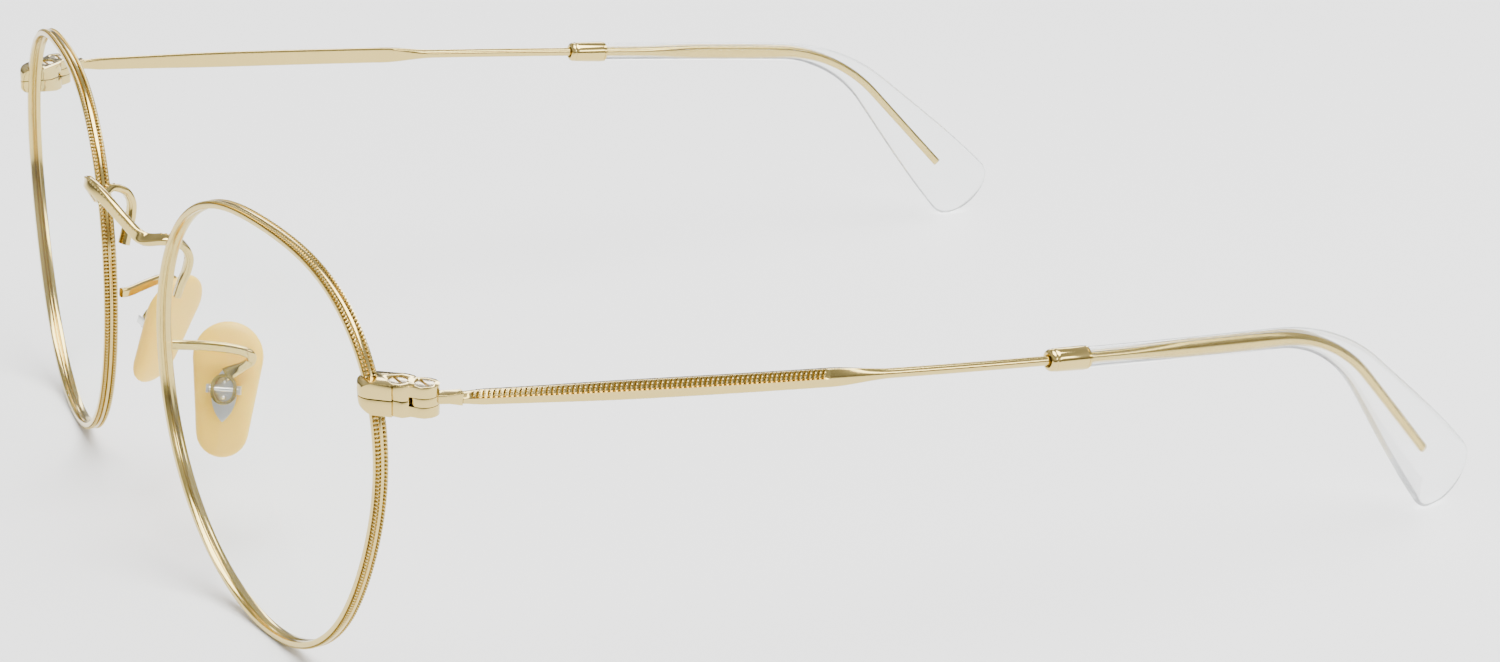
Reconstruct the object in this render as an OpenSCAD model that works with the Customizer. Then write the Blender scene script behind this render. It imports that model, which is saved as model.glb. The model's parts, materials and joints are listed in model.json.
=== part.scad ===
// Round wire eyeglasses: two full rims with clear lenses, a saddle bridge with curled shanks,
// split endpieces with rim screws and hinge screws, and folding temples with clear sleeve tips.
// Frame: +X to the wearer's left, front towards -Y, +Z up, standing on the rims and the tip ends.

/* [Front] */
// Width of one lens, inside the rim
lens_w = 49; // [46:0.5:52]
// Distance between the lenses
nose_gap = 20; // [17:0.5:23]
// How far each rim turns back towards the temple, degrees
wrap = 7.3; // [4:0.1:9]
// Radial thickness of the rim wire
rim_t = 0.9; // [0.8:0.05:1.2]
// Depth of the rim wire from front to back
rim_d = 1.65; // [1.4:0.05:2]

/* [Lenses] */
// Radius of the front surface of the lens
lens_curve = 120; // [90:5:200]
// Thickness of the lens
lens_t = 1.4; // [1.2:0.1:1.6]

/* [Bridge] */
// Height of the bridge bar's section
bridge_h = 1.6; // [1.2:0.1:2]
// Thickness of the bridge bar's section
bridge_t = 1.0; // [0.8:0.1:1.2]

/* [Hinges] */
// Outside diameter of the hinge knuckles
knuckle_d = 3.2; // [2.8:0.1:3.4]
// Height of the hinge's three knuckles together
hinge_h = 3.3; // [3.1:0.1:3.6]
// Diameter of the hinge screw's shank
screw_d = 1.2; // [1:0.1:1.4]
// Diameter of the screw heads
head_d = 2.1; // [1.9:0.1:2.2]
// Fold of the temples that the source is drawn at, degrees
fold = 0; // [0:1:80]

/* [Temples] */
// Height of the flat decorated arm
arm_h = 2; // [1.6:0.1:2.4]
// Thickness of the flat decorated arm
arm_t = 1.2; // [1:0.1:1.5]
// Diameter of the round wire behind the flat arm
wire_d = 1.15; // [1:0.05:1.4]
// Length along the arm to the end of the core wire
core_end = 138; // [130:1:142]
// Length along the arm to the start of the ear bend
bend_start = 104; // [96:1:108]
// Radius of the ear bend
bend_r = 22.6; // [18:0.5:28]
// Angle of the ear bend, degrees
bend_angle = 42.4; // [38:0.5:46]

/* [Tips] */
// Width of the clear tip at its end
tip_w = 10; // [7:0.5:11]
// Thickness of the clear tip
tip_t = 2.6; // [2.2:0.1:3]
// Length of the clear tip past the end of the core wire
tip_past = 7.2; // [5:0.2:8]

/* [Nose pads] */
// Length of a nose pad
pad_l = 15.8; // [13:0.2:16]
// Width of a nose pad at its round top
pad_w = 8.2; // [7:0.2:8.6]
// Thickness of a nose pad
pad_t = 2.4; // [2:0.1:2.6]
// Sideways lean of the pads, degrees
pad_tilt = 22; // [18:1:25]
// How far the pads turn open towards the back, degrees
pad_splay = 25; // [20:1:30]

/* [Hidden] */
$fn = 48;

gold = "#d8c79c";
silver = "#d6d6d6";
apricot = "#fbdcae";
clear = "#eef2f1";

// Where the modelling frame sits in the part's own frame
origin = [0, -70.1, 25.6];

// Rims: a circle that three small waves flatten at the top and fill out at the bottom
rim_steps = 144;
rim_mean = lens_w / 2 + rim_t - 0.05;
function rim_r(a) = rim_mean * (1 + 0.017 * cos(2 * a) - 0.014 * cos(4 * a)
    + 0.012 * sin(2 * a) + 0.041 * sin(3 * a) + 0.008 * sin(4 * a));
rim_x = (lens_w + nose_gap) / 2;
groove_depth = 0.35;
groove_w = 0.6;
lens_gap = 0.04;
seam = 0.12;

// Hinge: axis, and the levels of its three knuckles
hinge = [61.5, 8.1];
hinge_z = 11.8;
hinge_top = hinge_z + hinge_h / 2;
hinge_base = hinge_z - hinge_h / 2;
knuckle_gap = 0.05;
temple_knuckle = 0.95;
temple_base = hinge_z - temple_knuckle / 2;
run_fit = 0.05;
tight_fit = 0.02;
head_h = 0.45;
rim_screw = [59.7, 5.9];
rim_screw_d = 1.0;

// Endpiece block in plan: a nose in front of the rim and a back behind it
block_h = 3.5;
block_nose = [58.2, 3.9];
block_nose_r = 1.8;
block_back = [59.9, 6.1];
block_back_r = 1.9;
lug_r = 1.2;
// Radius that rounds the block's front above and below, as seen from the side
block_round = 1.1;
// Block that cuts the facet on the outer side
facet_at = [62.5, 4.2];
facet_cut = [1.6, 3, 10];
facet_turn = 40;
// Room for the temple's knuckle and for the neck that swings in towards the rim
knuckle_room = 0.25;
neck_room = [3.4, 2];

// Temples: the arm's middle line starts just behind the hinge
arm_start = [62.7, 11.8, 11.7];
arm_splay = 3.5;
arm_bow_r = 700;
arm_drop = 5.5;
// The neck: level with its knuckle for neck_reach behind the hinge, then up to the flat arm
neck_reach = 2.3;
neck_w = 1.9;
flat_end = 43;
taper_end = 51;
collar_start = 71.2;
collar_end = 76.5;
path_step = 1;
// Thickness and height of the flattened core inside the tip, and where it starts to flatten
flat_core = [1.1, 1.7];
core_flat_start = 90;
core_flat_length = 10;

// Collars and tips
collar_d = 3;
collar_front_d = 1.9;
sleeve_d = 2.8;
end_round = 3.6;

// Nose pads and their boxes, in the pad's own frame: X out of its back, Z along it
pad_pos = [10.5, 4.6, -5.8];
pad_pose = [-4, -pad_tilt, -pad_splay];
box_x = 2.2;
box_w = 3.0;
box_h = 3.6;
box_wall = 0.42;
box_depth = 1.1;
pin_d = 0.6;
clip_gap = 0.2;
clip_t = 0.3;
clip_h = 1;
clip_base_t = 0.18;
// Pointed plate of the insert: width, radius of its two sides, and how far below the middle it sits
plate_w = 2.9;
plate_r = 4.3;
plate_drop = 0.6;
plate_set = 0.35;
plate_proud = 0.15;
// Radius of the pad's narrower bottom
pad_low_r = pad_w * 0.37;

// ---------- helpers ----------

module place() {
    translate(origin) children();
}

module mirrored(side) {
    mirror([side < 0 ? 1 : 0, 0, 0]) children();
}

function unit(v) = v / norm(v);

// A closed surface through rings that all have the same number of points, capped at both ends
module skin(rings) {
    n = len(rings[0]);
    last = len(rings) - 1;
    points = [for (ring = rings) for (p = ring) p];
    walls = [for (i = [0:last - 1]) for (j = [0:n - 1])
        [i * n + j, i * n + (j + 1) % n, (i + 1) * n + (j + 1) % n, (i + 1) * n + j]];
    caps = [[for (j = [n - 1:-1:0]) j], [for (j = [0:n - 1]) last * n + j]];
    polyhedron(points, concat(walls, caps), convexity = 8);
}

// One ring: a rounded oblong w by h across the side and up directions at point p
function ring(p, side, up, w, h, n, power = 1) = [for (j = [0:n - 1])
    let (a = 360 * (j + 0.5) / n, c = cos(a), s = sin(a))
    p + side * (w / 2 * sign(c) * pow(abs(c), power)) + up * (h / 2 * sign(s) * pow(abs(s), power))];

// A point on a smooth curve through the hand-set points q, at t from 0 to len(q) - 1
function curve(q, t) = let (
    i = min(floor(t), len(q) - 2),
    u = t - i,
    a = q[max(i - 1, 0)],
    b = q[i],
    c = q[i + 1],
    d = q[min(i + 2, len(q) - 1)])
    0.5 * ((2 * b) + (c - a) * u + (2 * a - 5 * b + 4 * c - d) * u * u
        + (3 * b - a - 3 * c + d) * u * u * u);

// A flat bar along a curve; flat is the direction that the bar's broad face looks in
module bar(q, flat, thick, high, steps, n = 12) {
    total = (len(q) - 1) * steps;
    skin([for (k = [0:total])
        let (
            t = k / steps,
            p = curve(q, t),
            ahead = unit(curve(q, min(t + 0.01, len(q) - 1)) - curve(q, max(t - 0.01, 0))),
            up = unit(cross(ahead, curve(flat, t))),
            side = cross(up, ahead))
        ring(p, side, up, thick, high, n, 0.6)]);
}

// ---------- rims and lenses ----------

module rim_outline(inset) {
    polygon([for (i = [0:rim_steps - 1])
        let (a = 360 * i / rim_steps, r = rim_r(a) - inset)
        [r * cos(a), r * sin(a)]]);
}

// Puts a shape drawn in the rim's plane, with its depth along Z, into its place on the front
module in_rim() {
    translate([rim_x, 0, 0]) rotate([0, 0, wrap]) rotate([90, 0, 0]) children();
}

module rim_slab(inset, front, back) {
    translate([0, 0, -back]) linear_extrude(back - front) rim_outline(inset);
}

module rim_body() {
    difference() {
        in_rim() difference() {
            rim_slab(0, 0, rim_d);
            rim_slab(rim_t, -1, rim_d + 1);
            rim_slab(rim_t - groove_depth, (rim_d - groove_w) / 2, (rim_d + groove_w) / 2);
        }
        // The closing seam inside the endpiece
        translate([rim_x, -5, hinge_z - seam / 2]) cube([40, 20, seam]);
    }
}

module lens_body() {
    middle = rim_d / 2;
    edge = rim_mean - rim_t;
    sag = lens_curve - sqrt(lens_curve * lens_curve - edge * edge);
    in_rim() union() {
        // The edge that sits in the rim's groove
        difference() {
            rim_slab(rim_t - groove_depth + lens_gap, middle - groove_w / 2 + lens_gap,
                middle + groove_w / 2 - lens_gap);
            rim_slab(rim_t + 1.5, -1, rim_d + 1);
        }
        intersection() {
            rim_slab(rim_t + lens_gap, -6, rim_d + 2);
            translate([0, 0, -middle + lens_t / 2 + sag - lens_curve]) difference() {
                sphere(lens_curve);
                sphere(lens_curve - lens_t);
            }
        }
    }
}

// ---------- bridge ----------

// From the left shank's square end, up and back round its curl, and forward over the nose
bridge_half = [[9.4, -0.6, 6.2], [9.6, -0.1, 7.8], [9.9, 0.5, 9.4], [10.1, 0.7, 11.1],
    [10.1, -0.1, 12.6], [9.7, -1.9, 13.3], [7.8, -3.9, 13.1], [5.6, -5.3, 14.7], [3.2, -6.6, 16.6]];
bridge_top = [0, -7.4, 17.6];
// The direction that the bar's broad face looks in at each of those points
flat_half = [[0.3, 1, -0.6], [0.2, 1, -0.9], [0.1, 1, -0.3], [0.1, 1, 0.5],
    [0.1, 0.2, 1], [0, -0.5, 1], [-0.3, -0.9, 0.6], [-0.2, -1, 0.4], [-0.1, -1, 0.35]];
flat_top = [0, -1, 0.35];

function flip(v) = [-v[0], v[1], v[2]];

module bridge() color(gold) place() {
    n = len(bridge_half);
    line = concat(bridge_half, [bridge_top], [for (i = [n - 1:-1:0]) flip(bridge_half[i])]);
    face = concat(flat_half, [flat_top], [for (i = [n - 1:-1:0]) flip(flat_half[i])]);
    difference() {
        bar(line, face, bridge_t, bridge_h, 4);
        for (side = [-1, 1]) mirrored(side) in_rim() rim_slab(0, 0, rim_d);
    }
}

// ---------- endpieces and screws ----------

module block_plan() {
    hull() {
        translate(block_nose) circle(block_nose_r);
        translate(block_back) circle(block_back_r);
    }
}

// A bar along X, rounded in front, that the block is cut to
module round_front() {
    front = block_nose[1] - block_nose_r;
    reach = block_h / 2 - block_round;
    hull() {
        for (z = [-reach, reach]) translate([50, front + block_round, hinge_z + z]) rotate([0, 90, 0])
            cylinder(h = 20, r = block_round);
        translate([50, front + block_h, hinge_z - block_h / 2]) cube([20, 10, block_h]);
    }
}

// The lug from the block to a knuckle
module lug_plan() {
    hull() {
        translate(block_back) circle(lug_r);
        translate(hinge) circle(d = knuckle_d);
    }
}

// One half of the endpiece, from level low to level high, with its knuckle
module endpiece(low, high, knuckle_low, knuckle_high) {
    difference() {
        union() {
            intersection() {
                translate([0, 0, low]) linear_extrude(high - low) block_plan();
                round_front();
            }
            translate([0, 0, knuckle_low]) linear_extrude(knuckle_high - knuckle_low) lug_plan();
        }
        in_rim() rim_slab(rim_t, -3, rim_d + 3);
        in_rim() rim_slab(0, 0, rim_d);
        bore(hinge, screw_d + 2 * tight_fit);
        bore(rim_screw, rim_screw_d + 2 * tight_fit);
        translate([hinge[0], hinge[1], temple_base - knuckle_gap]) {
            room_h = temple_knuckle + 2 * knuckle_gap;
            cylinder(h = room_h, r = knuckle_d / 2 + knuckle_room);
            translate([-neck_room[0], -neck_room[1] / 2, 0]) cube([neck_room[0], neck_room[1], room_h]);
        }
        translate([facet_at[0], facet_at[1], hinge_z]) rotate([0, 0, facet_turn])
            cube(facet_cut, center = true);
    }
}

module bore(at, d) {
    translate([at[0], at[1], 0]) cylinder(h = 40, d = d);
}

// The upper half has the recesses for both screw heads
module endpiece_upper(side) color(gold) place() mirrored(side) difference() {
    endpiece(hinge_z + seam / 2, hinge_z + block_h / 2,
        temple_base + temple_knuckle + knuckle_gap, hinge_top);
    for (at = [hinge, rim_screw])
        translate([at[0], at[1], hinge_top - head_h]) cylinder(h = 5, d = head_d + 2 * tight_fit);
}

module endpiece_lower(side) color(gold) place() mirrored(side)
    endpiece(hinge_z - block_h / 2, hinge_z - seam / 2, hinge_base, temple_base - knuckle_gap);

// A screw with a slotted flat head, from its tip at level low to its head's top at level high
module screw(at, d, low, high) {
    slot_w = 0.35;
    slot_h = 0.25;
    translate([at[0], at[1], 0]) difference() {
        union() {
            translate([0, 0, low]) cylinder(h = high - low, d = d);
            translate([0, 0, high - head_h + 0.02]) cylinder(h = head_h - 0.02, d = head_d);
        }
        translate([0, 0, high - slot_h / 2]) cube([head_d + 1, slot_w, slot_h + 0.01], center = true);
    }
}

module rim_screw(side) color(silver) place() mirrored(side)
    screw(rim_screw, rim_screw_d, hinge_z - block_h / 2 + 0.3, hinge_top);

module hinge_screw(side) color(silver) place() mirrored(side)
    screw(hinge, screw_d, hinge_base - 0.45, hinge_top);

// ---------- temples ----------

function heading(s) = arm_splay - s / arm_bow_r * 180 / PI;
function fall(s) = arm_drop + min(max((s - bend_start) / bend_r * 180 / PI, 0), bend_angle);
function arm_dir(s) = [sin(heading(s)) * cos(fall(s)), cos(heading(s)) * cos(fall(s)), -sin(fall(s))];
function arm_side(s) = [cos(heading(s)), -sin(heading(s)), 0];

arm_len = core_end + tip_past;
arm_line = [for (i = 0, p = arm_start; i <= arm_len / path_step;
    p = p + arm_dir((i + 0.5) * path_step) * path_step, i = i + 1) p];

// The middle line at length s, which may lie between two of its points
function arm_at(s) = let (
    i = min(floor(s / path_step), len(arm_line) - 2),
    u = s / path_step - i)
    arm_line[i] * (1 - u) + arm_line[i + 1] * u;

function mix(a, b, u) = a + (b - a) * min(max(u, 0), 1);
function ease(u) = let (v = min(max(u, 0), 1)) v * v * (3 - 2 * v);

function arm_ring(s, w, h, n, power = 1) =
    ring(arm_at(s), arm_side(s), cross(arm_side(s), arm_dir(s)), w, h, n, power);

// Thickness and height of the metal arm, and of the core inside the tip
function taper(s) = ease((s - flat_end) / (taper_end - flat_end));
function flatten(s) = ease((s - core_flat_start) / core_flat_length);
function core_w(s) = s < collar_end ? mix(arm_t, wire_d, taper(s)) : mix(wire_d, flat_core[0], flatten(s));
function core_h(s) = s < collar_end ? mix(arm_h, wire_d, taper(s)) : mix(wire_d, flat_core[1], flatten(s));

// The neck stays level over the knuckles below it, then widens to the flat arm
module neck() {
    turn_x = (arm_start[0] - hinge[0]) * neck_reach / (arm_start[1] - hinge[1]);
    hull() {
        translate([hinge[0], hinge[1] + knuckle_d / 4, hinge_z])
            cube([neck_w, 0.2, temple_knuckle], center = true);
        neck_bend(turn_x);
    }
    hull() {
        neck_bend(turn_x);
        translate([arm_start[0], arm_start[1] + 0.15, arm_start[2]])
            cube([arm_t * 0.8, 0.3, arm_h * 0.75], center = true);
    }
}

module neck_bend(turn_x) {
    translate([hinge[0] + turn_x, hinge[1] + neck_reach, hinge_z])
        cube([(neck_w + arm_t) / 2, 0.2, temple_knuckle], center = true);
}

module temple_body() {
    stations = concat([0.01, 0.8], [for (s = [2:2.5:flat_end]) s],
        [for (s = [flat_end + 1:1:taper_end + 1]) s], [for (s = [taper_end + 3:3:bend_start]) s],
        [for (s = [bend_start + 1:2:core_end - 18]) s], [core_end - 12, core_end - 6, core_end]);
    difference() {
        union() {
            translate([hinge[0], hinge[1], temple_base]) cylinder(h = temple_knuckle, d = knuckle_d);
            neck();
            skin([for (s = stations)
                arm_ring(s, core_w(s), core_h(s), 12, s < flat_end + 3 ? 0.6 : 1)]);
        }
        bore(hinge, screw_d + 2 * run_fit);
    }
}

module folded() {
    translate([hinge[0], hinge[1], 0]) rotate([0, 0, fold])
        translate([-hinge[0], -hinge[1], 0]) children();
}

module temple(side) color(gold) place() mirrored(side) folded() temple_body();

// The collar's outside: a rounded front lip, then wider towards its back
function collar_size(u) = mix(collar_front_d, collar_d, ease(u * 1.4)) * min(1, 0.72 + u * 4);

module collar_body() {
    length = collar_end - collar_start;
    outer = [for (u = [0, 0.06, 0.18, 0.4, 0.7, 0.9, 1])
        arm_ring(collar_start + u * length, collar_size(u), collar_size(u), 16)];
    hole = wire_d + 0.04;
    inner = [for (u = [1, 0.5, 0]) arm_ring(collar_start + u * length, hole, hole, 16)];
    tube(concat(outer, inner));
}

// A closed wall through rings that run back along the outside and forward along the inside
module tube(rings) {
    n = len(rings[0]);
    m = len(rings);
    points = [for (r = rings) for (p = r) p];
    polyhedron(points, [for (i = [0:m - 1]) for (j = [0:n - 1])
        [i * n + j, i * n + (j + 1) % n, ((i + 1) % m) * n + (j + 1) % n, ((i + 1) % m) * n + j]],
        convexity = 8);
}

module collar(side) color(gold) place() mirrored(side) folded() collar_body();

// The clear tip: a round sleeve that flattens, widens and ends in a rounded paddle
function tip_high(s) = mix(sleeve_d, tip_w, ease((s - bend_start) / (arm_len - bend_start))) * tip_end(s);
function tip_thick(s) = mix(sleeve_d, tip_t, ease((s - 90) / 15)) * mix(1, tip_end(s), 0.75);
function tip_end(s) = let (v = max(0, (s - (arm_len - end_round)) / end_round))
    pow(max(0.0001, 1 - pow(v, 2.4)), 1 / 2.4);

module tip_body() {
    wall_fit = 0.04;
    start = collar_end + 0.02;
    outer = [for (s = concat([start], [for (s = [80:5:100]) s], [for (s = [103:3:core_end]) s],
        [for (v = [0.1, 0.3, 0.5, 0.65, 0.78, 0.88, 0.95, 0.99, 1]) arm_len - end_round * (1 - v)]))
        arm_ring(s, tip_thick(s), tip_high(s), 16)];
    inner = [for (s = concat([start], [for (s = [80:5:100]) s], [for (s = [103:3:core_end - 2]) s],
        [core_end + 0.06])) arm_ring(s, core_w(s) + 2 * wall_fit, core_h(s) + 2 * wall_fit, 16)];
    skin(concat([for (i = [len(inner) - 1:-1:0]) inner[i]], outer));
}

module tip(side) color(clear, 0.6) place() mirrored(side) folded() tip_body();

// ---------- nose pads ----------

module in_pad() {
    translate(pad_pos) rotate(pad_pose) children();
}

// A point of the pad's frame in the modelling frame
function turn_y(v, a) = [v[0] * cos(a) + v[2] * sin(a), v[1], v[2] * cos(a) - v[0] * sin(a)];
function turn_z(v, a) = [v[0] * cos(a) - v[1] * sin(a), v[0] * sin(a) + v[1] * cos(a), v[2]];
function turn_x(v, a) = [v[0], v[1] * cos(a) - v[2] * sin(a), v[1] * sin(a) + v[2] * cos(a)];
function from_pad(v) = pad_pos + turn_z(turn_y(turn_x(v, pad_pose[0]), pad_pose[1]), pad_pose[2]);

module oblong(w, h) {
    translate([0, (h - w) / 2]) circle(d = w);
    translate([0, -(h - w) / 2]) circle(d = w);
    square([w, h - w], center = true);
}

// Turns a flat shape drawn as width and height into a slab of the pad's frame
module pad_slab(from, to) {
    translate([from, 0, 0]) rotate([90, 0, 90]) linear_extrude(to - from) children();
}

arm_route = [[9.15, -1.25, 0.2], [9.5, 0.0, 0.1], [11.0, 2.6, 0.1], [12.5, 5.0, -0.1],
    [13.1, 6.6, -0.7], [12.9, 6.9, -1.7], [12.3, 5.9, -2.6], from_pad([box_x, 0, box_h / 2 - 0.1])];
arm_flat = [[1, -0.3, 0], [1, -0.4, 0], [1, -0.5, 0], [1, -0.3, 0],
    [1, 0, 0], [1, -0.2, 0.2], [1, -0.2, 0.3], [1, -0.4, 0.4]];
wire_t = 0.75;
wire_h = 1.0;

module pad_arm(side) color(gold) place() mirrored(side) difference() {
    bar(arm_route, arm_flat, wire_t, wire_h, 5, 8);
    in_rim() rim_slab(0, 0, rim_d);
}

// The oval box that holds the pad, soldered on the end of the arm
module pad_box(side) color(gold) place() mirrored(side) in_pad() difference() {
    pad_slab(box_x - box_depth / 2, box_x + box_depth / 2) difference() {
        oblong(box_w, box_h);
        oblong(box_w - 2 * box_wall, box_h - 2 * box_wall);
    }
    translate([box_x, 0, 0]) rotate([90, 0, 0])
        cylinder(h = 10, d = pin_d + 2 * run_fit, center = true);
}

// Silver clip: a base on the insert, two ears beside the box, and a pin through them
module pad_clip(side) color(silver) place() mirrored(side) in_pad() {
    ear_y = box_w / 2 + clip_gap;
    base_x = pad_t / 2 + plate_proud + 0.01;
    ear_reach = 0.75;
    translate([base_x, -ear_y - clip_t, -clip_h / 2]) cube([clip_base_t, 2 * (ear_y + clip_t), clip_h]);
    for (y = [-ear_y - clip_t, ear_y])
        translate([base_x, y, -clip_h / 2]) cube([box_x + ear_reach - base_x, clip_t, clip_h]);
    translate([box_x, 0, 0]) rotate([90, 0, 0])
        cylinder(h = 2 * ear_y + clip_t, d = pin_d, center = true);
}

module plate_outline(fit) {
    intersection_for (way = [-1, 1])
        translate([way * (plate_r - plate_w / 2), -plate_drop]) circle(plate_r + fit);
}

// Pointed oval plate set into the pad's back
module pad_insert(side) color(silver) place() mirrored(side) in_pad()
    pad_slab(pad_t / 2 - plate_set, pad_t / 2 + plate_proud) plate_outline(0);

module nose_pad(side) color(apricot, 0.8) place() mirrored(side) in_pad() difference() {
    hull() {
        translate([0, 0, pad_l / 2 - pad_w / 2]) soft_disc(pad_w / 2);
        translate([0, 0, pad_low_r - pad_l / 2]) soft_disc(pad_low_r);
    }
    pad_slab(pad_t / 2 - plate_set - tight_fit, pad_t / 2 + 1) plate_outline(tight_fit);
}

// A disc with a rounded edge, as thick as the pad
module soft_disc(r) {
    rotate([0, 90, 0]) rotate_extrude($fn = 32) intersection() {
        translate([r - pad_t / 2, 0]) union() {
            circle(pad_t / 2, $fn = 24);
            translate([-r, -pad_t / 2]) square([r, pad_t]);
        }
        translate([0, -pad_t]) square([r, 2 * pad_t]);
    }
}

// ---------- the parts ----------

module rim(side) color(gold) place() mirrored(side) rim_body();
module lens(side) color(clear, 0.35) place() mirrored(side) lens_body();

rim(1);  // rim_left
rim(-1);  // rim_right
lens(1);  // lens_left
lens(-1);  // lens_right
bridge();
endpiece_upper(1);  // endpiece_upper_left
endpiece_upper(-1);  // endpiece_upper_right
endpiece_lower(1);  // endpiece_lower_left
endpiece_lower(-1);  // endpiece_lower_right
rim_screw(1);  // rim_screw_left
rim_screw(-1);  // rim_screw_right
hinge_screw(1);  // hinge_screw_left
hinge_screw(-1);  // hinge_screw_right
pad_arm(1);  // pad_arm_left
pad_arm(-1);  // pad_arm_right
pad_box(1);  // pad_box_left
pad_box(-1);  // pad_box_right
pad_clip(1);  // pad_clip_left
pad_clip(-1);  // pad_clip_right
pad_insert(1);  // pad_insert_left
pad_insert(-1);  // pad_insert_right
nose_pad(1);  // nose_pad_left
nose_pad(-1);  // nose_pad_right
temple(1);  // temple_left
temple(-1);  // temple_right
collar(1);  // collar_left
collar(-1);  // collar_right
tip(1);  // tip_left
tip(-1);  // tip_right
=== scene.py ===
"""Round wire eyeglasses: the finished looks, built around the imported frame.

Every piece is drawn for the wearer's left side in the front's own space (X outwards, Y back,
Z up, metres), and a mirrored copy of the drawing makes the right side.
"""

import json
import math

import bmesh
import bpy
from mathutils import Matrix, Vector


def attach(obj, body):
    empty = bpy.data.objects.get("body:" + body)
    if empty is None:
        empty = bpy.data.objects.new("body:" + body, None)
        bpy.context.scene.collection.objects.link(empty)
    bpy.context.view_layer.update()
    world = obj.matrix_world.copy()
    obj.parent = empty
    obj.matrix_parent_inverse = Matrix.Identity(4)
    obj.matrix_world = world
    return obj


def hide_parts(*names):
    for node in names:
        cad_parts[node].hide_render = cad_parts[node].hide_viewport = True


bl_info = {
    "name": "Round Wire Eyeglasses",
    "version": (1, 0, 0),
    "blender": (4, 5, 0),
    "location": "View3D > Sidebar > Eyeglasses",
    "description": "Builds a pair of round wire eyeglasses piece by piece",
    "category": "Add Mesh",
}

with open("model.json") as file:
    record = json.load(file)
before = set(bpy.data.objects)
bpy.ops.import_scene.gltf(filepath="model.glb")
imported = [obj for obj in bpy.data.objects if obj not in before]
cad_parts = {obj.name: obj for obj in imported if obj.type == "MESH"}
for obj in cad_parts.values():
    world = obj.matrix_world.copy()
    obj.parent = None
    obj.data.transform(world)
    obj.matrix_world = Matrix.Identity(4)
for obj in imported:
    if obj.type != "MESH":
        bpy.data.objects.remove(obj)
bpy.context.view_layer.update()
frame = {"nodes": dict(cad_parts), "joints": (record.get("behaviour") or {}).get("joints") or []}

MM = 0.001
SIDES = (("left", 1), ("right", -1))
# Angle in degrees past which an edge of a piece taken from the CAD stays crisp
CAD_CREASE = 32
JOINTS = {joint["name"]: joint for joint in frame["joints"]}

# The hinge's place in the front's own space, and from it the place of that space in the part
HINGE = Vector((61.5, 8.1, 11.8)) * MM
ORIGIN = Vector(JOINTS["temple_left_fold"]["pos_m"]) - HINGE


# ---------- sizes and colours ----------


def length(name, default, description):
    return bpy.props.FloatProperty(
        name=name, default=default * MM, description=description, unit="LENGTH", precision=5
    )


def angle(name, default, description):
    return bpy.props.FloatProperty(
        name=name, default=math.radians(default), description=description, subtype="ANGLE"
    )


def number(name, default, description):
    return bpy.props.FloatProperty(name=name, default=default, description=description)


def colour(name, default, description):
    return bpy.props.FloatVectorProperty(
        name=name, default=default, description=description, subtype="COLOR", size=3, min=0, max=1
    )


class FrontSizes(bpy.types.PropertyGroup):
    lens_w: length("Lens width", 49, "Width of one lens, inside the rim")
    nose_gap: length("Nose gap", 20, "Distance between the lenses")
    wrap: angle("Wrap", 7.3, "How far each rim turns back towards the temple")
    rim_t: length("Rim thickness", 0.9, "Radial thickness of the rim wire")
    rim_d: length("Rim depth", 1.65, "Depth of the rim wire from front to back")
    bead_d: length("Bead size", 0.36, "Diameter of the beads along the rim's edges")
    bead_pitch: length("Bead pitch", 0.46, "Distance between beads")
    lens_curve: length("Lens curve", 120, "Radius of the front surface of the lens")
    lens_t: length("Lens thickness", 1.4, "Thickness of the lens")
    bridge_h: length("Bridge height", 1.6, "Height of the bridge bar's section")
    bridge_t: length("Bridge thickness", 1.0, "Thickness of the bridge bar's section")


class ArmSizes(bpy.types.PropertyGroup):
    height: length("Arm height", 2.0, "Height of the flat decorated arm")
    front_height: length("Front height", 1.5, "Height of the arm where it leaves the neck")
    thick: length("Arm thickness", 1.05, "Thickness of the flat decorated arm")
    wire_d: length("Wire", 1.15, "Diameter of the round wire behind the flat arm")
    tooth_pitch: length("Tooth pitch", 0.59, "Distance between the teeth on the arm's upper edge")
    channel: length("Channel", 0.3, "Depth of the channel that the teeth stand in")
    splay: angle("Splay", 3.5, "How far the arm leans outwards at the hinge")
    bow_r: length("Bow", 700, "Radius of the arm's sideways bow")
    drop: angle("Drop", 5.5, "How far the arm falls below level")
    core_end: length("Core end", 136.5, "Length along the arm to the end of the core wire")
    bend_start: length("Bend start", 104, "Length along the arm to the ear bend")
    bend_r: length("Bend radius", 22.6, "Radius of the ear bend")
    bend_angle: angle("Bend angle", 42.4, "Angle of the ear bend")
    tip_w: length("Tip width", 9.9, "Width of the clear tip at its end")
    tip_t: length("Tip thickness", 2.5, "Thickness of the clear tip")
    tip_past: length("Tip past core", 8.65, "Length of the clear tip past the core wire")
    sleeve_d: length("Sleeve", 2.4, "Diameter of the clear sleeve behind the collar")
    collar_d: length("Collar", 2.8, "Diameter of the collar")


class PadSizes(bpy.types.PropertyGroup):
    long: length("Pad length", 15.8, "Length of a nose pad")
    wide: length("Pad width", 8.2, "Width of a nose pad at its round top")
    thick: length("Pad thickness", 2.4, "Thickness of a nose pad")
    tilt: angle("Tilt", 22, "Sideways lean of the pads")
    splay: angle("Splay", 25, "How far the pads turn open towards the back")
    lean: angle("Lean", -4, "How far the pads' tops lean back")


class Finishes(bpy.types.PropertyGroup):
    gold: colour("Gold", (0.62, 0.475, 0.165), "Pale champagne gold plate")
    # Deep gold is blended into the plate in random noise patches all over each piece; nothing puts it
    # in the hollows
    deep_gold: colour("Deep gold", (0.54, 0.41, 0.14), "Gold where dirt and shade gather")
    silver: colour("Silver", (0.80, 0.80, 0.78), "Clips and inserts")
    apricot: colour("Apricot", (1.0, 0.64, 0.07), "Nose pads")
    acetate: colour("Acetate", (0.975, 0.985, 0.985), "Clear tips")
    glass: colour("Glass", (0.99, 1.0, 0.995), "Clear lenses")
    polish: number("Polish", 0.08, "Roughness of the polished gold")


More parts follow.
